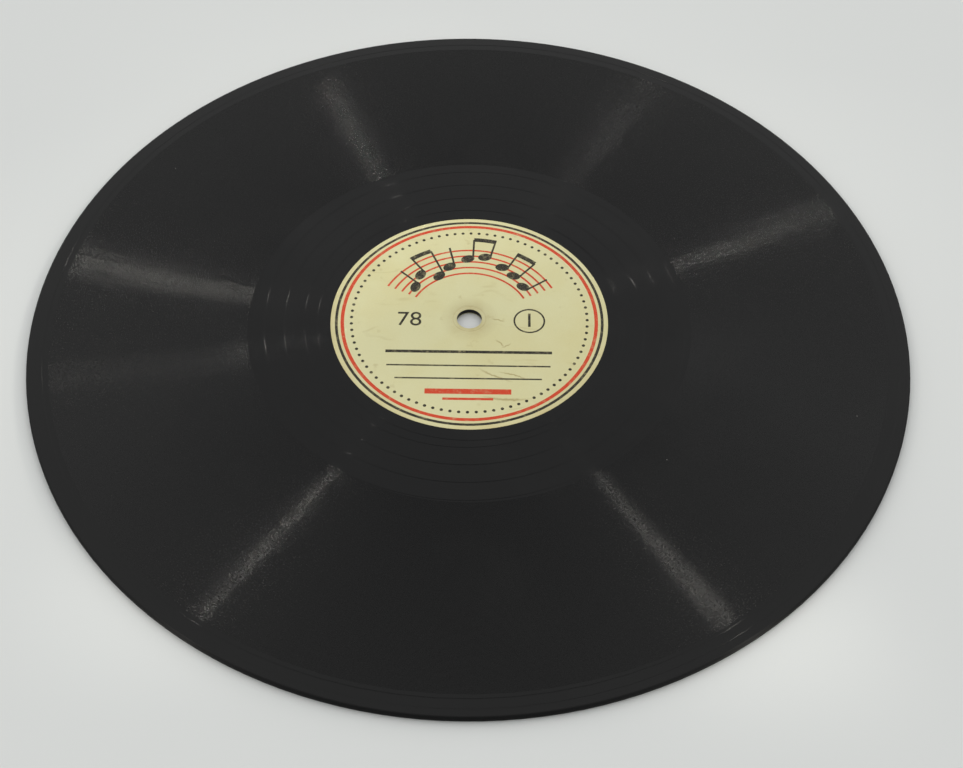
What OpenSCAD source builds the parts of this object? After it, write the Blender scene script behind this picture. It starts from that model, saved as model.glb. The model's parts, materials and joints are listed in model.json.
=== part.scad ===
/* [Disc] */
// Outer diameter of the pressed disc
disc_d = 250; // [200:1:300]
// Thickness of the disc
disc_t = 2; // [1.6:0.1:3]
// Rounding of the disc's outer edge
edge_r = 0.6; // [0.2:0.05:0.75]
// Diameter of the spindle hole
hole_d = 7.24; // [7:0.02:8]

/* [Labels] */
// Diameter of the paper labels
label_d = 79.5; // [60:0.5:100]
// Thickness of the label paper
label_t = 0.15; // [0.1:0.01:0.25]
// Depth of the label's face below the disc's face
label_sink = 0.05; // [0.02:0.01:0.12]
// Gap between the label's edge and the wall of its seat
label_gap = 0.1; // [0.05:0.01:0.3]
// Width of the label's margin, outside the ring that the press left in it
label_margin = 4; // [2:0.1:8]
// Width of the collar that the press left around the hole
collar_w = 1.3; // [0.8:0.1:3]
// Depth of each pressed step in the label
press_step = 0.06; // [0.02:0.01:0.1]
// Width of the slope at a pressed step
press_slope = 0.3; // [0.1:0.05:0.4]

/* [Groove] */
// Width of the groove at the disc's face
groove_w = 0.24; // [0.15:0.01:0.4]
// Angle between the two walls of the groove
groove_angle = 90; // [75:1:110]
// Width of the rim, from the disc's edge to the recorded band
rim_w = 6.2; // [5:0.1:12]
// Distance from the disc's edge to the start of the lead-in groove
lead_in_inset = 2.2; // [1.2:0.1:4]
// Advance of the lead-in groove in one turn
lead_in_pitch = 2.7; // [1.5:0.1:4]
// Width of the run-out, from the recorded band to the locked groove
run_out_w = 20; // [12:0.5:25]
// Advance of the run-out groove in one turn
run_out_pitch = 6; // [4:0.1:10]
// Width of the land between the label's seat and the locked groove
lock_land = 3.6; // [1.5:0.1:8]
// Direction in which the run-out groove leaves the recorded band
run_out_start = 240; // [0:5:355]

/* [Hidden] */
$fn = 180;
disc_r = disc_d / 2;
hole_r = hole_d / 2;
label_r = label_d / 2;
seat_r = label_r + label_gap;
groove_depth = groove_w / 2 / tan(groove_angle / 2);
// How far cutting shapes stand clear of the face that they cut
clear = 0.05;

lead_in_r = disc_r - lead_in_inset;
band_outer_r = disc_r - rim_w;
lock_r = seat_r + lock_land;
band_inner_r = lock_r + run_out_w;
lead_in_halves = max(1, round(2 * (lead_in_r - band_outer_r) / lead_in_pitch));
run_out_halves = max(1, round(2 * run_out_w / run_out_pitch));

// Levels of the label's face below the disc's face, from its edge to the hole
margin_z = -label_sink;
field_z = margin_z - press_step;
collar_z = field_z - press_step;
ring_r = label_r - label_margin;
collar_r = hole_r + collar_w;

// Line of the label's face from r_in to r_out, in the disc's half section
function label_line(r_in, r_out, drop) = [
    [r_in, collar_z - drop],
    [collar_r, collar_z - drop],
    [collar_r + press_slope, field_z - drop],
    [ring_r - press_slope, field_z - drop],
    [ring_r, margin_z - drop],
    [r_out, margin_z - drop],
];

function reversed(points) = [for (k = [len(points) - 1 : -1 : 0]) points[k]];

// The front face is the top one. The back is the same face, turned over about the X axis
module on_front() translate([0, 0, disc_t]) children();
module on_back() rotate([180, 0, 0]) children();

// V section of the groove, its mouth at height 0
module groove_section() {
    spread = (groove_depth + clear) * tan(groove_angle / 2);
    polygon([[0, -groove_depth], [spread, clear], [-spread, clear]]);
}

module groove_ring(r) rotate_extrude() translate([r, 0]) groove_section();

// Spiral groove from r_start in to r_end, as half turns whose centres lie to either side
// of the axis, so that each half turn runs smoothly into the next
module groove_spiral(r_start, r_end, halves) {
    step = (r_start - r_end) / halves;
    for (k = [0 : halves - 1])
        rotate([0, 0, 180 * k])
            translate([step / 2, 0, 0])
                rotate_extrude(angle = 180)
                    translate([r_start - step * (k + 0.5), 0]) groove_section();
}

// Everything that the stamper presses into one face outside the label
module face_grooves() {
    rotate([0, 0, run_out_start]) {
        groove_spiral(lead_in_r, band_outer_r, lead_in_halves);
        groove_spiral(band_inner_r, lock_r, run_out_halves);
    }
    groove_ring(band_outer_r);
    groove_ring(band_inner_r);
    groove_ring(lock_r);
}

// Seat that the press forms around the label's paper
module label_seat()
    rotate_extrude()
        polygon(concat(label_line(hole_r - clear, seat_r, label_t), [[seat_r, clear], [hole_r - clear, clear]]));

module disc_section() {
    translate([hole_r, 0]) square([disc_r - edge_r - hole_r, disc_t]);
    translate([hole_r, edge_r]) square([disc_r - hole_r, disc_t - 2 * edge_r]);
    for (z = [edge_r, disc_t - edge_r])
        translate([disc_r - edge_r, z]) circle(r = edge_r);
}

module disc() color("#1d1d1f")
    difference() {
        rotate_extrude() disc_section();
        on_front() label_seat();
        on_back() label_seat();
        on_front() face_grooves();
        on_back() face_grooves();
    }

module label_paper()
    rotate_extrude()
        polygon(concat(label_line(hole_r, label_r, 0), reversed(label_line(hole_r, label_r, label_t))));

module front_label() color("#cfcb98") on_front() label_paper();

module back_label() color("#cfcb98") on_back() label_paper();

disc();
front_label();
back_label();
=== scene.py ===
import json
import math

import bpy
import numpy as np
from mathutils import Matrix, Vector


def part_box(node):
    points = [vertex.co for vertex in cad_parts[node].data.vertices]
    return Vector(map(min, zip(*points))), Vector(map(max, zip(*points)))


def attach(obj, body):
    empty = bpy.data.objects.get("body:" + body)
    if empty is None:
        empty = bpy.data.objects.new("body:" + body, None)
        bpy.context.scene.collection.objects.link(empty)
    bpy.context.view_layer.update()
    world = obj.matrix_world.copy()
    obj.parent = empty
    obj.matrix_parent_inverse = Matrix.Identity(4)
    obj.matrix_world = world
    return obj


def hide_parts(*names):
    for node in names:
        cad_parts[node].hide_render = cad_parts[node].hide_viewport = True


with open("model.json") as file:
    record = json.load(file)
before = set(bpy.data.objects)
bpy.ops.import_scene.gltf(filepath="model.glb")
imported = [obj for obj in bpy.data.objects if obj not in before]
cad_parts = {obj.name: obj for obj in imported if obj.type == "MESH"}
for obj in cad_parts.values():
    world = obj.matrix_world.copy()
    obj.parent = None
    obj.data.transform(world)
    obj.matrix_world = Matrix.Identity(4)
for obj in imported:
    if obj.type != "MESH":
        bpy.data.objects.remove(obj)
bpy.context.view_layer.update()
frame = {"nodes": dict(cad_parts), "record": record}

mm = 0.001
weld = 0.002 * mm                       # vertices closer than this are one
tiny = 1e-12                            # keeps a division off zero
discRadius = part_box("disc")[1].x
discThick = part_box("disc")[1].z
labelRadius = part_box("front_label")[1].x
holeRadius = frame["record"]["mounts"][0]["dims"]["r_mm"] * mm
turnOver = Matrix.Rotation(math.pi, 4, "X")   # front face to back face
print("frame: disc", round(2 * discRadius / mm, 2), "mm across,", round(discThick / mm, 2), "mm thick")


# everyday handling

def deselectAll():
    if bpy.context.mode != "OBJECT":
        bpy.ops.object.mode_set(mode="OBJECT")
    bpy.ops.object.select_all(action="DESELECT")


def pick(*objs):
    deselectAll()
    for obj in objs:
        obj.select_set(True)
    bpy.context.view_layer.objects.active = objs[0]
    return objs[0]


def nameIt(name):
    obj = bpy.context.active_object
    obj.name = name
    obj.data.name = name
    return obj


def getPoints(mesh):
    flat = np.empty(len(mesh.vertices) * 3)
    mesh.vertices.foreach_get("co", flat)
    return flat.reshape(-1, 3)


def setPoints(mesh, points):
    mesh.vertices.foreach_set("co", points.ravel())
    mesh.update()


def edgeEnds(mesh):
    flat = np.empty(len(mesh.edges) * 2, int)
    mesh.edges.foreach_get("vertices", flat)
    return flat.reshape(-1, 2)


def selectEdges(obj, wanted):           # leaves the object in edit mode with these edges selected
    pick(obj)
    mesh = obj.data
    onEdge = np.zeros(len(mesh.vertices), bool)
    onEdge[edgeEnds(mesh)[wanted].ravel()] = True
    mesh.polygons.foreach_set("select", np.zeros(len(mesh.polygons), bool))
    mesh.edges.foreach_set("select", wanted)
    mesh.vertices.foreach_set("select", onEdge)
    bpy.context.tool_settings.mesh_select_mode = (False, True, False)
    bpy.ops.object.mode_set(mode="EDIT")


def weldAll(obj):
    pick(obj)
    bpy.ops.object.mode_set(mode="EDIT")
    bpy.ops.mesh.select_all(action="SELECT")
    bpy.ops.mesh.remove_doubles(threshold=weld)
    bpy.ops.mesh.normals_make_consistent(inside=False)
    bpy.ops.object.mode_set(mode="OBJECT")


def lathe(name, profile, steps):        # profile of (radius, height) points, spun about the spindle axis
    deselectAll()
    bpy.ops.mesh.primitive_plane_add(size=mm, location=(0, 0, 0))
    obj = nameIt(name)
    bpy.ops.object.mode_set(mode="EDIT")
    bpy.ops.mesh.select_all(action="SELECT")
    bpy.ops.mesh.merge(type="CENTER")
    bpy.ops.transform.translate(value=(profile[0][0], 0, profile[0][1]))
    for (r0, z0), (r1, z1) in zip(profile, profile[1:]):
        bpy.ops.mesh.extrude_region_move(TRANSFORM_OT_translate={"value": (r1 - r0, 0, z1 - z0)})
    bpy.ops.mesh.select_all(action="SELECT")
    bpy.ops.mesh.spin(steps=steps, angle=2 * math.pi, center=(0, 0, 0), axis=(0, 0, 1))
    bpy.ops.mesh.select_all(action="SELECT")
    bpy.ops.mesh.remove_doubles(threshold=weld)
    bpy.ops.object.mode_set(mode="OBJECT")
    return obj


# camera

cameraSpec = dict(
    target=(3.73 * mm, -22.39 * mm, 0),
    distance=428.9 * mm,
    elevation=math.radians(51.57),
    roll=math.radians(0.762),
    lens=57.5,                           # in mm, as is the width of the sensor
    sensor=36,
    nearest=10 * mm,                     # nothing closer than this is drawn
)


def makeCamera(spec):
    deselectAll()
    e, roll = spec["elevation"], spec["roll"]
    back = Vector((0, -math.cos(e), math.sin(e)))
    right = Vector((1, 0, 0))
    up = back.cross(right)
    turnedRight = right * math.cos(roll) + up * math.sin(roll)
    turnedUp = up * math.cos(roll) - right * math.sin(roll)
    place = Matrix((turnedRight, turnedUp, back)).transposed().to_4x4()
    place.translation = Vector(spec["target"]) + back * spec["distance"]
    bpy.ops.object.camera_add()
    camera = nameIt("camera")
    camera.matrix_world = place
    camera.data.lens = spec["lens"]
    camera.data.sensor_width = spec["sensor"]
    camera.data.sensor_fit = "HORIZONTAL"
    camera.data.clip_start = spec["nearest"]
    bpy.context.scene.camera = camera
    return camera


camera = makeCamera(cameraSpec)
print("camera set")


# the disc, with its groove as one spiral from the rim to the locked groove

disc = dict(
    edgeRound=0.6 * mm,
    edgeSteps=5,
    ringSteps=160,
    rim=6.2 * mm,                        # from the edge to the recorded band
    leadInset=2.2 * mm,                  # from the edge to the start of the groove
    leadTurns=1.5,
    pitch=0.3 * mm,                      # of the recorded band
    bandHalf=0.085 * mm,                 # half the groove's width in the band
    wideHalf=0.12 * mm,                  # half its width in the lead-in and run-out
    wall=math.radians(45),               # slope of the groove's walls
    runOut=20 * mm,
    runTurns=3.5,
    lockLand=3.6 * mm,
    runStart=math.radians(240),
    columns=80,
    taper=0.2,                           # turns over which the groove fades in at the rim
    blend=(0.2, 0.5),                    # turns over which its width changes, outside and inside the band
    bridge=0.15 * mm,                    # strips that join the grooved faces to the turned parts
    seatGap=0.1 * mm,
    labelSink=0.05 * mm,
    labelThick=0.15 * mm,
    pressStep=0.06 * mm,
    pressSlope=0.3 * mm,
    labelMargin=4 * mm,
    collar=1.3 * mm,
    crisp=math.radians(30),              # edges that turn by more stay crisp
    sunk=0.01 * mm,                      # points deeper than this lie in the groove
)
seatRadius = labelRadius + disc["seatGap"]
lockRadius = seatRadius + disc["lockLand"]
bandInner = lockRadius + disc["runOut"]
bandOuter = discRadius - disc["rim"]
leadRadius = discRadius - disc["leadInset"]
faceOuter = discRadius - disc["edgeRound"] - 2 * disc["bridge"]
faceInner = seatRadius + 2 * disc["bridge"]


def labelLevels():                       # (radius, depth) along the label's face, from its edge to the hole
    margin = disc["labelSink"]
    field = margin + disc["pressStep"]
    ring = labelRadius - disc["labelMargin"]
    collar = holeRadius + disc["collar"]
    slope = disc["pressSlope"]
    return [
        (seatRadius, margin), (ring, margin), (ring - slope, field),
        (collar + slope, field), (collar, field + disc["pressStep"]), (holeRadius, field + disc["pressStep"]),
    ]


def grooveAt(turn):                      # centre radius and half width after so many turns
    bandTurns = (bandOuter - bandInner) / disc["pitch"]
    marks = np.cumsum([0, disc["leadTurns"], bandTurns, disc["runTurns"]])
    centre = np.interp(turn, marks, [leadRadius, bandOuter, bandInner, lockRadius])
    wide, fine = disc["wideHalf"], disc["bandHalf"]
    outside, inside = disc["blend"]
    changes = [0, disc["taper"], marks[1] - outside, marks[1] + inside, marks[2] - inside, marks[2] + outside]
    half = np.interp(turn, changes, [0, wide, wide, fine, fine, wide])
    return centre, half, math.ceil(marks[3])


def groovedFace(name):
    columns = disc["columns"]
    lastTurn = grooveAt(0)[2]
    rows = 2 + 3 * (lastTurn + 1) + 1    # edge circle, start circle, three lines a turn, inner circle
    deselectAll()
    bpy.ops.mesh.primitive_grid_add(x_subdivisions=columns, y_subdivisions=rows - 1, size=2,
                                    location=(0, 0, 0))
    obj = nameIt(name)
    flat = getPoints(obj.data)
    column = np.rint((flat[:, 0] + 1) / 2 * columns)
    row = np.rint((flat[:, 1] + 1) / 2 * (rows - 1))
    line = row - 2
    count = np.floor(line / 3)           # whole turns since the start
    turn = count + column / columns
    side = line % 3                      # 0 outer lip, 1 bottom, 2 inner lip
    centre, half, _ = grooveAt(turn)
    depth = half / math.tan(disc["wall"])
    radius = centre + half * (1 - side)
    height = np.where(side == 1, -depth, 0)
    # where two turns run together, their lips meet in a ridge that sinks to the bottom
    for lip, step in ((0, -1), (2, 1)):
        other, otherHalf, _ = grooveAt(turn + step)
        gap = np.abs(centre - other)
        meet = (side == lip) & (gap < half + otherHalf) & (count + step >= 0) & (count + step <= lastTurn)
        radius = np.where(meet, (centre + other) / 2, radius)
        height = np.where(meet, -depth * (1 - gap / (half + otherHalf + tiny)), height)
    radius = np.where(row == 0, faceOuter, np.where(row == 1, leadRadius, radius))
    radius = np.where(row == rows - 1, faceInner, radius)
    height = np.where((row < 2) | (row == rows - 1), 0, height)
    angle = disc["runStart"] + 2 * math.pi * column / columns
    setPoints(obj.data, np.column_stack((radius * np.cos(angle), radius * np.sin(angle), discThick + height)))
    weldAll(obj)
    return obj


def fillGap(obj, inner, outer, level):  # flat strip between two open circles
    mesh = obj.data
    points = getPoints(mesh)
    reach = np.hypot(points[:, 0], points[:, 1])
    inGap = (reach > inner - weld) & (reach < outer + weld) & (np.abs(points[:, 2] - level) < weld)
    loopEdges = np.empty(len(mesh.loops), int)
    mesh.loops.foreach_get("edge_index", loopEdges)
    openEdge = np.bincount(loopEdges, minlength=len(mesh.edges)) == 1
    selectEdges(obj, openEdge & inGap[edgeEnds(mesh)].all(axis=1))
    bpy.ops.mesh.fill(use_beauty=True)
    bpy.ops.object.mode_set(mode="OBJECT")


def makeDisc():
    front = groovedFace("grooved_disc")
    back = groovedFace("back_face")
    back.data.transform(Matrix.Translation((0, 0, discThick)) @ turnOver)
    # rounded outer edge
    rounding, bridge = disc["edgeRound"], disc["bridge"]
    bend = [math.pi / 2 * k / disc["edgeSteps"] for k in range(disc["edgeSteps"] + 1)]
    corner = [(discRadius - rounding + rounding * math.sin(a), discThick - rounding + rounding * math.cos(a))
              for a in bend]
    upper = [(faceOuter + bridge, discThick)] + corner
    edge = lathe("edge", upper + [(r, discThick - z) for r, z in reversed(upper)], disc["ringSteps"])
    # label seats and spindle hole
    floor = [(r, discThick - depth - disc["labelThick"]) for r, depth in labelLevels()]
    upper = [(faceInner - bridge, discThick), (seatRadius, discThick)] + floor
    core = lathe("core", upper + [(r, discThick - z) for r, z in reversed(upper)], disc["ringSteps"])
    pick(front, back, edge, core)
    bpy.ops.object.join()
    for level in (0, discThick):
        fillGap(front, faceOuter, faceOuter + bridge, level)
        fillGap(front, faceInner - bridge, faceInner, level)
    weldAll(front)
    # smooth along the groove's bottom, crisp at its lips and at the turned corners
    pick(front)
    bpy.ops.object.shade_smooth()
    bpy.ops.object.mode_set(mode="EDIT")
    bpy.ops.mesh.select_all(action="DESELECT")
    bpy.context.tool_settings.mesh_select_mode = (False, True, False)
    bpy.ops.mesh.edges_select_sharp(sharpness=disc["crisp"])
    bpy.ops.object.mode_set(mode="OBJECT")
    mesh = front.data
    crisp = np.empty(len(mesh.edges), bool)
    mesh.edges.foreach_get("select", crisp)
    points = getPoints(mesh)
    sunk = np.minimum(points[:, 2], discThick - points[:, 2]) > disc["sunk"]
    sunk &= np.hypot(points[:, 0], points[:, 1]) > faceInner
    selectEdges(front, crisp & ~sunk[edgeEnds(mesh)].all(axis=1))
    bpy.ops.mesh.mark_sharp()
    bpy.ops.object.mode_set(mode="OBJECT")
    return front


groovedDisc = makeDisc()
print("disc:", len(groovedDisc.data.vertices), "points,", len(groovedDisc.data.polygons), "faces")


# node helpers

def newMaterial(name):
    material = bpy.data.materials.new(name)
    material.use_nodes = True
    tree = material.node_tree
    return material, tree, tree.nodes["Principled BSDF"]


def node(tree, kind, inputs=None, **settings):
    made = tree.nodes.new("ShaderNode" + kind)
    for key, value in settings.items():
        setattr(made, key, value)
    for key, value in (inputs or {}).items():
        socket = made.inputs[key]
        if isinstance(value, bpy.types.NodeSocket):
            tree.links.new(value, socket)
        else:
            socket.default_value = value
    return made


def math2(tree, operation, a, b=0.0):
    return node(tree, "Math", {0: a, 1: b}, operation=operation).outputs[0]


def remap(tree, value, low, high, toLow=0.0, toHigh=1.0):
    return node(tree, "MapRange", {"Value": value, "From Min": low, "From Max": high,
                                   "To Min": toLow, "To Max": toHigh}).outputs["Result"]


def noise(tree, vector, scale, detail=2.0, rough=0.5):
    return node(tree, "TexNoise", {"Vector": vector, "Scale": scale, "Detail": detail,
                                   "Roughness": rough}).outputs["Fac"]


def patches(tree, vector, low, high, least=0.0, most=1.0, **grain):   # least to most, as a noise rises
    return remap(tree, noise(tree, vector, **grain), low, high, least, most)


def mixColour(tree, factor, a, b):
    made = node(tree, "Mix", {"Factor": factor}, data_type="RGBA")
    for socket, value in ((made.inputs[6], a), (made.inputs[7], b)):
        if isinstance(value, bpy.types.NodeSocket):
            tree.links.new(value, socket)
        else:
            socket.default_value = (*value, 1)
    return made.outputs[2]


def discCoords(tree):                    # object coordinates, radius and angle about the spindle
    place = node(tree, "TexCoord").outputs["Object"]
    flat = node(tree, "VectorMath", {0: place, 1: (1, 1, 0)}, operation="MULTIPLY").outputs[0]
    radius = node(tree, "VectorMath", {0: flat}, operation="LENGTH").outputs["Value"]
    split = node(tree, "SeparateXYZ", {0: place})
    angle = math2(tree, "ARCTAN2", split.outputs[1], split.outputs[0])
    return place, radius, angle


# shellac: black and glossy, greyer towards the rim, with dull rings, a glitter along the groove and dust

shellac = dict(
    black=(0.0014, 0.0014, 0.0016),      # at the label
    greyed=(0.0052, 0.0052, 0.0052),     # at the rim
    haze=(0.0075, 0.0075, 0.0073),
    hazePatches=dict(scale=22.0, detail=5.0, rough=0.6, low=0.48, high=0.75, most=0.5),
    dust=(0.30, 0.29, 0.27),
    dustScale=130.0,
    dustSize=0.022,                      # radius of a speck, against the cell that it lies in
    dustRare=0.8,                        # share of the cells that are clean
    dustCover=0.5,
    ringScale=420.0,
    ringDetail=4.0,
    ringRange=(0.3, 0.7),                # of the noise, from the glossiest to the dullest ring
    gloss=(0.0, 0.03),                   # added roughness, from ring to ring
    glitterGloss=(0.05, 0.30),           # roughness of the brightest and dullest grains
    glitterLean=0.046,                   # how far the recorded wiggles turn the groove's walls
    glitterRange=(0.49, 0.62),           # of the noise, from the brightest to the dullest grains
    glitterAside=(31.7, 12.3, 0),        # from the noise of the grains to that of the wiggles
    glitterLength=0.55 * mm,
    glitterWidth=0.36 * mm,
    glitterFade=0.4 * mm,                # over which the grains end, past either side of the recorded band
    plainGloss=0.16,                     # roughness of the land and of the grooves with nothing recorded
    plainScatter=1.0,                    # how much more those scatter light across the groove than along it
    edgeDull=0.35,                       # added roughness of the edge, which is ground after pressing
    ior=1.28,
)


def glitter(tree, place, radius, angle):    # roughness, normal and one-way scatter along the groove
    split = node(tree, "SeparateXYZ", {0: place})
    back = math2(tree, "MULTIPLY", split.outputs[1], -1.0)
    along = node(tree, "CombineXYZ", {0: back, 1: split.outputs[0]}).outputs[0]
    along = node(tree, "VectorMath", {0: along}, operation="NORMALIZE").outputs[0]
    middle = (bandInner + bandOuter) / 2
    turned = math2(tree, "MULTIPLY", angle, middle / shellac["glitterLength"])
    across = math2(tree, "MULTIPLY", radius, 1 / shellac["glitterWidth"])
    cell = node(tree, "CombineXYZ", {0: across, 1: turned}).outputs[0]
    grain = noise(tree, cell, scale=1.0, detail=1.0)
    pastInner = remap(tree, radius, bandInner - shellac["glitterFade"], bandInner)
    pastOuter = remap(tree, radius, bandOuter, bandOuter + shellac["glitterFade"], 1.0, 0.0)
    recorded = math2(tree, "MULTIPLY", pastInner, pastOuter)
    plain = shellac["plainGloss"]
    bright, dull = shellac["glitterGloss"]
    rough = remap(tree, grain, *shellac["glitterRange"], bright - plain, dull - plain)
    rough = math2(tree, "ADD", math2(tree, "MULTIPLY", rough, recorded), plain)
    # the walls lean by a second noise, taken from another place
    aside = node(tree, "VectorMath", {0: cell, 1: shellac["glitterAside"]}, operation="ADD").outputs[0]
    lean = shellac["glitterLean"]
    wiggle = patches(tree, aside, 0.0, 1.0, -lean, lean, scale=1.0, detail=1.0)
    wiggle = math2(tree, "MULTIPLY", wiggle, recorded)
    push = node(tree, "VectorMath", {0: along, "Scale": wiggle}, operation="SCALE").outputs[0]
    normal = node(tree, "NewGeometry").outputs["Normal"]
    leaning = node(tree, "VectorMath", {0: normal, 1: push}, operation="ADD").outputs[0]
    leaning = node(tree, "VectorMath", {0: leaning}, operation="NORMALIZE").outputs[0]
    return rough, leaning, remap(tree, recorded, 0.0, 1.0, shellac["plainScatter"], 0.0)


def shellacMaterial():
    material, tree, surface = newMaterial("shellac")
    place, radius, angle = discCoords(tree)
    outwards = math2(tree, "MULTIPLY", radius, shellac["ringScale"])
    rings = node(tree, "TexNoise", {"W": outwards, "Detail": shellac["ringDetail"], "Scale": 1.0},
                 noise_dimensions="1D").outputs["Fac"]
    haze = patches(tree, place, **shellac["hazePatches"])
    speck = node(tree, "TexVoronoi", {"Vector": place, "Scale": shellac["dustScale"]})
    isSpeck = math2(tree, "LESS_THAN", speck.outputs["Distance"], shellac["dustSize"])
    chance = node(tree, "SeparateColor", {0: speck.outputs["Color"]}).outputs[0]
    isSpeck = math2(tree, "MULTIPLY", isSpeck, math2(tree, "GREATER_THAN", chance, shellac["dustRare"]))
    towardRim = remap(tree, radius, bandInner, discRadius)
    colour = mixColour(tree, towardRim, shellac["black"], shellac["greyed"])
    colour = mixColour(tree, haze, colour, shellac["haze"])
    colour = mixColour(tree, math2(tree, "MULTIPLY", isSpeck, shellac["dustCover"]), colour, shellac["dust"])
    tree.links.new(colour, surface.inputs["Base Color"])
    grainRough, grainNormal, scatter = glitter(tree, place, radius, angle)
    gloss = math2(tree, "ADD", grainRough, remap(tree, rings, *shellac["ringRange"], *shellac["gloss"]))
    edge = remap(tree, radius, faceOuter, discRadius - disc["edgeRound"] / 2, 0.0, shellac["edgeDull"])
    tree.links.new(math2(tree, "ADD", gloss, edge), surface.inputs["Roughness"])
    tree.links.new(grainNormal, surface.inputs["Normal"])
    tree.links.new(scatter, surface.inputs["Anisotropic"])
    outward = node(tree, "VectorMath", {0: place, 1: (1, 1, 0)}, operation="MULTIPLY").outputs[0]
    outward = node(tree, "VectorMath", {0: outward}, operation="NORMALIZE").outputs[0]
    tree.links.new(outward, surface.inputs["Tangent"])
    surface.inputs["IOR"].default_value = shellac["ior"]
    return material


groovedDisc.data.materials.clear()
groovedDisc.data.materials.append(shellacMaterial())
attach(groovedDisc, "root")
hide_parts("disc")


# label paper, yellowed and a little soiled, with painted shade in its creases and folds and at the press mark

paper = dict(
    cream=(0.657, 0.627, 0.354),
    yellow=(0.620, 0.563, 0.273),
    # real stains, and also the painted shade in creases, folds and at the press mark
    stainAndShade=(0.350, 0.267, 0.098),
    grime=(0.350, 0.331, 0.218),
    foxed=(0.555, 0.428, 0.174),
    backShift=(0.37, 0.259, 0),          # where in the noises the back label's paper lies
    fibre=dict(scale=3800.0, detail=3.0, rough=0.6),
    fibreCover=0.12,                     # how much grime the fibres hold
    fibreHeight=0.2,                     # against the height of a fold
    patch=dict(scale=160.0, detail=4.0, rough=0.65),
    noiseRange=(0.3, 0.7),               # of the noises for fibres and patches
    gloss=(0.55, 0.72),                  # roughness, from patch to patch
    bumpStrength=0.5,
    bumpDepth=0.03 * mm,
    yellowing=dict(scale=45.0, detail=5.0, rough=0.6, low=0.42, high=0.72, most=0.75),
    spots=dict(scale=330.0, detail=3.0, rough=0.5, low=0.66, high=0.78, most=0.3),
    margin=5 * mm,                       # width of the soiling along the edge
    edgePatches=dict(scale=60.0, detail=4.0, rough=0.6, low=0.44, high=0.70, least=0.15, most=0.8),
    soilFade=(-0.6, 0.5),                # heights between which that soiling fades, in label radii
    soilLeast=0.3,                       # share of it that is left at the top
    holeSoil=(0.2 * mm, 5 * mm),         # distances from the hole between which the soiling there fades
    holeMost=0.5,
    holePatches=(0.4, 1.0),              # share of that soiling, from patch to patch
    ring=(4.7 * mm, 0.45 * mm),          # radius and half width of the painted shade along the step that the press left at the hole
    # strength of that painted shade
    pressShadeMost=0.75,
    crease=dict(scale=70.0, detail=3.0, rough=0.5),
    creaseTurn=math.radians(18),
    creaseStretch=0.3,
    creaseWidth=0.016,                   # half width, as a step of the noise
    creaseMost=0.25,                     # against a fold
    # share of painted shade along a crease or fold
    creaseShade=0.9,
    creasePlaces=dict(scale=85.0, low=0.56, high=0.66),
    # folds in the front paper: middle x and y, turn in degrees, half length, bow and half width, in mm
    folds=[
        (10.6, -28.4, -3, 7.4, -0.9, 0.55),
        (7.6, -20.6, -26, 5.6, -0.5, 0.42),
        (12.4, -21.0, -18, 4.6, 0.5, 0.34),
        (8.6, -9.3, -50, 2.0, 0.4, 0.30),
        (10.6, -9.8, 28, 1.7, -0.3, 0.26),
        (8.2, -0.6, -18, 2.2, 0.2, 0.28),
    ],
    foldShake=dict(scale=0.8, detail=3.0, low=0.0, high=1.0, least=-0.5, most=0.5),   # in mm, too
    foldFade=0.3,                        # share of a fold's half length from which it fades
)


def foldMark(tree, place, x, y, turn, half, bow, width):    # 1 along a fold, fading at its ends
    local = node(tree, "Mapping", {"Vector": place, "Location": (x * mm, y * mm, 0),
                                   "Rotation": (0, 0, math.radians(turn)), "Scale": (mm, mm, mm)},
                 vector_type="TEXTURE").outputs[0]
    split = node(tree, "SeparateXYZ", {0: local})
    along = math2(tree, "DIVIDE", split.outputs[0], half)
    bent = math2(tree, "MULTIPLY", math2(tree, "SUBTRACT", 1.0, math2(tree, "MULTIPLY", along, along)), bow)
    shaken = math2(tree, "ADD", split.outputs[1], patches(tree, local, **paper["foldShake"]))
    across = math2(tree, "SUBTRACT", shaken, bent)
    near = remap(tree, math2(tree, "ABSOLUTE", across), 0.0, width, 1.0, 0.0)
    ends = remap(tree, math2(tree, "ABSOLUTE", along), paper["foldFade"], 1.0, 1.0, 0.0)
    return math2(tree, "MULTIPLY", near, ends)


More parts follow.
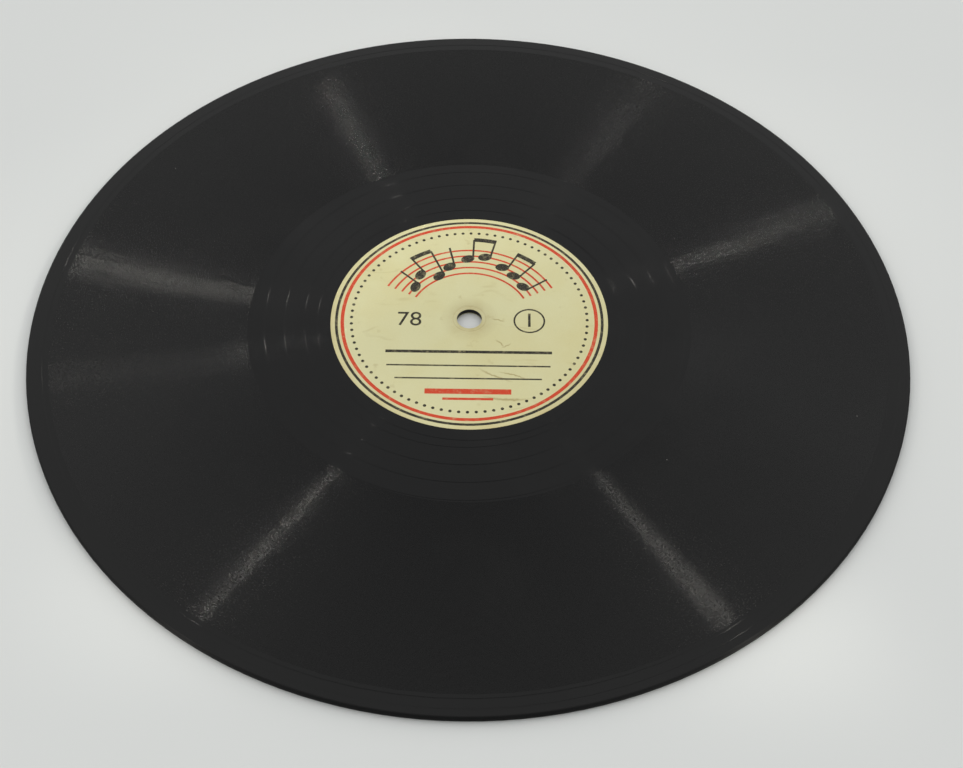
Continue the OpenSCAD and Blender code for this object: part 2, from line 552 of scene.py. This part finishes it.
def paperMaterial(name, shift, folds):
    material, tree, surface = newMaterial(name)
    place, radius, _ = discCoords(tree)
    moved = node(tree, "VectorMath", {0: place, 1: shift}, operation="ADD").outputs[0]
    fibre = noise(tree, moved, **paper["fibre"])
    patch = noise(tree, moved, **paper["patch"])
    yellowing = patches(tree, moved, **paper["yellowing"])
    spots = patches(tree, moved, **paper["spots"])
    # soiling that creeps in from the edge, most of all at the foot
    toEdge = remap(tree, radius, labelRadius - paper["margin"], labelRadius)
    edgePatches = patches(tree, moved, **paper["edgePatches"])
    upwards = node(tree, "SeparateXYZ", {0: place}).outputs[1]
    foot, top = paper["soilFade"]
    low = remap(tree, upwards, foot * labelRadius, top * labelRadius, 1.0, paper["soilLeast"])
    toEdge = math2(tree, "MULTIPLY", math2(tree, "MULTIPLY", toEdge, edgePatches), low)
    # soiling around the hole, and painted shade along the step of the press mark there
    near, far = paper["holeSoil"]
    toHole = remap(tree, radius, holeRadius + near, holeRadius + far, paper["holeMost"], 0.0)
    pressShadeRadius, pressShadeHalf = paper["ring"]
    fromPressShade = math2(tree, "ABSOLUTE", math2(tree, "SUBTRACT", radius, pressShadeRadius))
    ring = remap(tree, fromPressShade, 0.0, pressShadeHalf, paper["pressShadeMost"], 0.0)
    toHole = math2(tree, "MAXIMUM", toHole, ring)
    holePatches = remap(tree, patch, *paper["noiseRange"], *paper["holePatches"])
    toHole = math2(tree, "MULTIPLY", toHole, holePatches)
    # faint creases, darkened with painted shade, run where a stretched noise passes its middle, and only in
    # some places
    stretched = node(tree, "Mapping", {"Vector": moved, "Rotation": (0, 0, paper["creaseTurn"]),
                                       "Scale": (paper["creaseStretch"], 1, 1)}).outputs[0]
    slow = math2(tree, "SUBTRACT", noise(tree, stretched, **paper["crease"]), 0.5)
    ridge = remap(tree, math2(tree, "ABSOLUTE", slow), 0.0, paper["creaseWidth"], paper["creaseMost"], 0.0)
    crease = math2(tree, "MULTIPLY", ridge, patches(tree, moved, **paper["creasePlaces"]))
    for fold in folds:
        crease = math2(tree, "MAXIMUM", crease, foldMark(tree, place, *fold))
    colour = mixColour(tree, yellowing, paper["cream"], paper["yellow"])
    colour = mixColour(tree, toEdge, colour, paper["foxed"])
    # soiling near the hole, with painted shade along the press mark's step
    colour = mixColour(tree, toHole, colour, paper["stainAndShade"])
    colour = mixColour(tree, spots, colour, paper["stainAndShade"])
    # creases and folds darkened with painted shade
    colour = mixColour(tree, math2(tree, "MULTIPLY", crease, paper["creaseShade"]), colour, paper["stainAndShade"])
    held = remap(tree, fibre, *paper["noiseRange"], 0.0, paper["fibreCover"])
    colour = mixColour(tree, held, colour, paper["grime"])
    tree.links.new(colour, surface.inputs["Base Color"])
    tree.links.new(remap(tree, patch, *paper["noiseRange"], *paper["gloss"]), surface.inputs["Roughness"])
    height = math2(tree, "ADD", math2(tree, "MULTIPLY", fibre, paper["fibreHeight"]), crease)
    bump = node(tree, "Bump", {"Height": height, "Strength": paper["bumpStrength"],
                               "Distance": paper["bumpDepth"]})
    tree.links.new(bump.outputs[0], surface.inputs["Normal"])
    return material


def coverLabel(name, shift, folds):
    label = frame["nodes"][name]
    label.data.materials.clear()
    label.data.materials.append(paperMaterial(name + "_paper", shift, folds))


coverLabel("front_label", (0, 0, 0), paper["folds"])
coverLabel("back_label", paper["backShift"], [])
print("paper labels done")


# label print: plain rings, dots and rules, and a staff of notes, in thin raised ink on both labels

labelPrint = dict(
    thick=0.008 * mm,
    sink=0.004 * mm,                     # how far the ink soaks into the paper
    layer=0.0015 * mm,                   # by which an ink lies under the next one
    black=(0.016, 0.014, 0.010),
    red=(0.595, 0.048, 0.014),
    worn=(0.555, 0.492, 0.272),
    fade=dict(scale=700.0, detail=4.0, rough=0.7, low=0.52, high=0.80, most=0.55),
    rub=dict(scale=5200.0, detail=2.0, rough=0.6, low=0.56, high=0.74, most=0.45),
    wornFull=0.6,                        # wear at which the ink is dullest
    gloss=(0.42, 0.65),                  # roughness of fresh ink and of the dullest
    shine=0.2,                           # specular level
    arcStep=3,                           # degrees in each straight piece of an arc
    dotSides=12,
    headSides=20,
    numberSteps=6,                       # straight pieces in each curve of a number
    outerRing=(38.1 * mm, 0.8 * mm),     # radius and width
    innerRing=(36.4 * mm, 1.0 * mm),
    dotRing=(33.8 * mm, 0.95 * mm, 88),   # radius, size and count
    # angles in degrees; a note's place is counted in half steps from the staff's inner line
    staff=dict(inner=17.6 * mm, step=2.3 * mm, lines=5, width=0.6 * mm, start=27, end=153),
    notes=[(143, 2), (131, 4), (119, 1), (107, 3), (92, 5), (80, 6), (65, 4), (53, 3), (39, 2)],
    beams=[(1, 2), (4, 5), (6, 7)],      # pairs of notes under one beam
    head=(2.05 * mm, 1.45 * mm),         # half length and half height of a note's head
    headTilt=math.radians(20),
    stem=(7.4 * mm, 0.6 * mm),           # length and width
    stemPlace=0.9,                       # how far out along the head the stem's outer side stands
    beam=1.5 * mm,
    number=dict(size=7.4 * mm, across=17.2 * mm, up=-0.6 * mm),
    sideRing=(4.3 * mm, 0.5 * mm),
    rules=[(-12.4, 47, 1.0), (-17.4, 46, 0.5), (-22.0, 41, 0.5)],   # height, length and width in mm
    footRules=[(-26.6, 24, 1.8), (-29.2, 14, 0.8)],
)
marginLevel = discThick - labelLevels()[0][1]
fieldLevel = discThick - labelLevels()[2][1]
stemLevel = fieldLevel - labelPrint["layer"]
staffLevel = stemLevel - labelPrint["layer"]


def inkBox(level):                       # middle height and thickness of the ink on this level
    total = labelPrint["thick"] + labelPrint["sink"]
    return level + total / 2 - labelPrint["sink"], total


def inkArc(radius, width, level, start=0.0, end=360.0):
    middle, total = inkBox(level)
    deselectAll()
    bpy.ops.mesh.primitive_plane_add(size=2, location=(0, 0, 0))
    obj = nameIt("ink_arc")
    flat = getPoints(obj.data)
    reach = radius + flat[:, 0] * width / 2
    turn = math.radians(start)
    setPoints(obj.data, np.column_stack((reach * math.cos(turn), reach * math.sin(turn),
                                         middle + flat[:, 1] * total / 2)))
    bpy.ops.object.mode_set(mode="EDIT")
    bpy.ops.mesh.select_all(action="SELECT")
    if end - start >= 360:
        bpy.ops.mesh.delete(type="ONLY_FACE")
        bpy.ops.mesh.select_all(action="SELECT")
    steps = max(2, round((end - start) / labelPrint["arcStep"]))
    bpy.ops.mesh.spin(steps=steps, angle=math.radians(end - start), center=(0, 0, 0), axis=(0, 0, -1))
    weldAll(obj)
    return obj


def inkRule(x, y, length, width, level, turn=0.0):
    middle, total = inkBox(level)
    deselectAll()
    bpy.ops.mesh.primitive_cube_add(size=1, location=(x, y, middle), rotation=(0, 0, turn),
                                    scale=(length, width, total))
    obj = nameIt("ink_rule")
    bpy.ops.object.transform_apply(location=True, rotation=True, scale=True)
    return obj


def inkDot(x, y, halfLength, halfHeight, level, sides, turn=0.0):
    middle, total = inkBox(level)
    deselectAll()
    bpy.ops.mesh.primitive_cylinder_add(vertices=sides, radius=1, depth=1, location=(x, y, middle),
                                        rotation=(0, 0, turn), scale=(halfLength, halfHeight, total))
    obj = nameIt("ink_dot")
    bpy.ops.object.transform_apply(location=True, rotation=True, scale=True)
    return obj


def inkDotRing(radius, size, count, level):
    obj = inkDot(radius, 0, size / 2, size / 2, level, labelPrint["dotSides"])
    bpy.ops.object.mode_set(mode="EDIT")
    bpy.ops.mesh.select_all(action="SELECT")
    bpy.ops.mesh.spin(steps=count - 1, dupli=True, angle=2 * math.pi * (count - 1) / count,
                      center=(0, 0, 0), axis=(0, 0, 1))
    bpy.ops.object.mode_set(mode="OBJECT")
    return obj


def inkNumber(words, x, y, size, level):
    middle, total = inkBox(level)
    deselectAll()
    bpy.ops.object.text_add(location=(x, y, middle))
    obj = nameIt("ink_number")
    obj.data.body = words
    obj.data.size = size
    obj.data.align_x = "CENTER"
    obj.data.align_y = "CENTER"
    obj.data.extrude = total / 2
    obj.data.resolution_u = labelPrint["numberSteps"]
    bpy.ops.object.convert(target="MESH")
    bpy.ops.object.transform_apply(location=True, rotation=True, scale=True)
    obj = bpy.context.active_object
    weldAll(obj)
    return obj


def inkNotes():
    staff = labelPrint["staff"]
    halfLength, halfHeight = labelPrint["head"]
    stemLength, stemWidth = labelPrint["stem"]
    made = []
    tips = []
    for angle, place in labelPrint["notes"]:
        radius = staff["inner"] + place * staff["step"] / 2
        turn = math.radians(angle)
        lean = turn - math.pi / 2 + labelPrint["headTilt"]
        made.append(inkDot(radius * math.cos(turn), radius * math.sin(turn), halfLength, halfHeight,
                           fieldLevel, labelPrint["headSides"], lean))
        stemTurn = turn - (halfLength * labelPrint["stemPlace"] - stemWidth / 2) / radius
        stemMiddle = radius + stemLength / 2
        made.append(inkRule(stemMiddle * math.cos(stemTurn), stemMiddle * math.sin(stemTurn),
                            stemLength, stemWidth, stemLevel, stemTurn))
        tips.append((math.degrees(stemTurn), radius + stemLength))
    for first, second in labelPrint["beams"]:
        reach = max(tips[first][1], tips[second][1]) - labelPrint["beam"] / 2
        made.append(inkArc(reach, labelPrint["beam"], fieldLevel, tips[second][0], tips[first][0]))
        for index in (first, second):    # the shorter stem grows to the beam
            turn, tip = math.radians(tips[index][0]), tips[index][1]
            if tip < reach:
                middle = (tip + reach) / 2
                made.append(inkRule(middle * math.cos(turn), middle * math.sin(turn), reach - tip, stemWidth,
                                    stemLevel, turn))
    return made


def inkMaterial(name, colour):
    material, tree, surface = newMaterial(name)
    place, _, _ = discCoords(tree)
    fade = patches(tree, place, **labelPrint["fade"])
    rub = patches(tree, place, **labelPrint["rub"])
    worn = math2(tree, "MAXIMUM", fade, rub)
    tree.links.new(mixColour(tree, worn, colour, labelPrint["worn"]), surface.inputs["Base Color"])
    rough = remap(tree, worn, 0.0, labelPrint["wornFull"], *labelPrint["gloss"])
    tree.links.new(rough, surface.inputs["Roughness"])
    surface.inputs["Specular IOR Level"].default_value = labelPrint["shine"]
    return material


def joinInk(name, parts, material, side):
    obj = pick(*parts)
    bpy.ops.object.join()
    obj.name = name
    obj.data.name = name
    if side == "back":
        obj.data.transform(Matrix.Translation((0, 0, discThick)) @ turnOver)
    obj.data.materials.clear()
    obj.data.materials.append(material)
    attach(obj, "root")


def printLabel(side, sideNumber, blackInk, redInk):
    staff, number = labelPrint["staff"], labelPrint["number"]
    red = [inkArc(*labelPrint["innerRing"], marginLevel)]
    for line in range(staff["lines"]):
        radius = staff["inner"] + line * staff["step"]
        red.append(inkArc(radius, staff["width"], staffLevel, staff["start"], staff["end"]))
    for height, length, width in labelPrint["footRules"]:
        red.append(inkRule(0, height * mm, length * mm, width * mm, fieldLevel))
    joinInk(side + "_red_print", red, redInk, side)
    black = [inkArc(*labelPrint["outerRing"], marginLevel), inkDotRing(*labelPrint["dotRing"], fieldLevel)]
    black += inkNotes()
    black.append(inkNumber("78", -number["across"], number["up"], number["size"], fieldLevel))
    black.append(inkNumber(sideNumber, number["across"], number["up"], number["size"], fieldLevel))
    ring = inkArc(*labelPrint["sideRing"], fieldLevel)
    ring.data.transform(Matrix.Translation((number["across"], number["up"], 0)))
    black.append(ring)
    for height, length, width in labelPrint["rules"]:
        black.append(inkRule(0, height * mm, length * mm, width * mm, fieldLevel))
    joinInk(side + "_black_print", black, blackInk, side)


blackInk = inkMaterial("black_ink", labelPrint["black"])
redInk = inkMaterial("red_ink", labelPrint["red"])
printLabel("front", "1", blackInk, redInk)
printLabel("back", "2", blackInk, redInk)
print("label print done")


# lamps: each sends its light to the camera off groove walls that lean by lean, at one place on the disc,
# midway across the band if no radius is given; faces is the radius that the middle of its beam meets;
# angle, lean and beam are in degrees

streakLamps = {
    "lamp_left": dict(angle=170.9, lean=-39,
                      distance=0.40, size=0.026, beam=22, watts=0.0051, faces=93 * mm),
    "lamp_right": dict(angle=20.5, lean=-36, distance=0.25, size=0.006, beam=40, watts=0.0037),
    "lamp_near_left": dict(angle=237.2, lean=40,
                           distance=0.40, size=0.016, beam=14, watts=0.0029, faces=80 * mm),
    "lamp_near_right": dict(angle=303.4, lean=40,
                            distance=0.30, size=0.020, beam=16, watts=0.0020, faces=103 * mm),
    "lamp_far_left": dict(angle=115.6, lean=-42,
                          distance=0.25, size=0.004, beam=36, watts=0.0037, faces=76 * mm),
    "lamp_far_right": dict(angle=59.9, lean=-28, distance=0.40, size=0.012, beam=30, watts=0.0021),
    "lamp_low_left": dict(angle=192.0, lean=-34, distance=1.00, size=0.060, beam=16, watts=0.0027),
    "lamp_run_out_left": dict(angle=191.2, radius=48 * mm, lean=-36,
                              distance=0.30, size=0.020, beam=3.6, watts=0.00024),
    "lamp_run_out_right": dict(angle=18.9, radius=52 * mm, lean=-36,
                               distance=0.30, size=0.012, beam=4.4, watts=0.00011),
}
lampTint = (1.0, 0.96, 0.87)


def makeStreakLamp(name, spec):
    angle = math.radians(spec["angle"])
    outward = Vector((math.cos(angle), math.sin(angle), 0))
    along = Vector((-math.sin(angle), math.cos(angle), 0))
    radius = spec.get("radius", (bandInner + bandOuter) / 2)
    spot = outward * radius + Vector((0, 0, discThick))
    view = (camera.matrix_world.translation - spot).normalized()
    sideways = -view.dot(along)
    lean = 2 * math.radians(spec["lean"]) - math.atan2(view.dot(outward), view.z)
    inPlane = math.sqrt(1 - sideways ** 2)
    aim = along * sideways + outward * inPlane * math.sin(lean) + Vector((0, 0, inPlane * math.cos(lean)))
    deselectAll()
    bpy.ops.object.light_add(type="AREA")
    lamp = nameIt(name)
    lamp.data.shape = "SQUARE"
    lamp.data.size = spec["size"]
    lamp.data.energy = spec["watts"]
    lamp.data.color = lampTint
    lamp.data.spread = math.radians(spec["beam"])
    toward = aim * spec["distance"] + outward * (radius - spec.get("faces", radius))
    toward.normalize()
    across = (along - toward * along.dot(toward)).normalized()
    lamp.matrix_world = Matrix((across, toward.cross(across), toward)).transposed().to_4x4()
    lamp.matrix_world.translation = spot + aim * spec["distance"]
    lamp.visible_camera = False


for lampName, lampSpec in streakLamps.items():
    makeStreakLamp(lampName, lampSpec)

# an even soft room, with its dark end low behind the camera

room = dict(
    light=(1.07, 1.076, 1.07),
    dark=(0.16, 0.165, 0.17),
    darkWay=(0, -0.87, 0.49),
    darkReach=(0.62, 0.95),              # cosines from that way at which the dark fades and is full
)


def makeRoom():
    world = bpy.data.worlds.new("soft_room")
    world.use_nodes = True
    tree = world.node_tree
    way = node(tree, "TexCoord").outputs["Generated"]
    near = node(tree, "VectorMath", {0: way, 1: room["darkWay"]}, operation="DOT_PRODUCT").outputs["Value"]
    share = node(tree, "MapRange", {"Value": near, "From Min": room["darkReach"][0],
                                    "From Max": room["darkReach"][1]}, interpolation_type="SMOOTHSTEP")
    colour = mixColour(tree, share.outputs["Result"], room["light"], room["dark"])
    tree.links.new(colour, tree.nodes["Background"].inputs["Color"])
    bpy.context.scene.world = world


makeRoom()

floorSpec = dict(size=30.0, drop=0.05 * mm, colour=(0.711, 0.723, 0.709), rough=0.7)
deselectAll()
bpy.ops.mesh.primitive_plane_add(size=floorSpec["size"], location=(0, 0, -floorSpec["drop"]))
floor = nameIt("floor")
floorMaterial, _, floorSurface = newMaterial("pale_floor")
floorSurface.inputs["Base Color"].default_value = (*floorSpec["colour"], 1)
floorSurface.inputs["Roughness"].default_value = floorSpec["rough"]
floor.data.materials.append(floorMaterial)
bpy.context.scene.view_settings.view_transform = "Standard"
print("lamps, room and floor done")
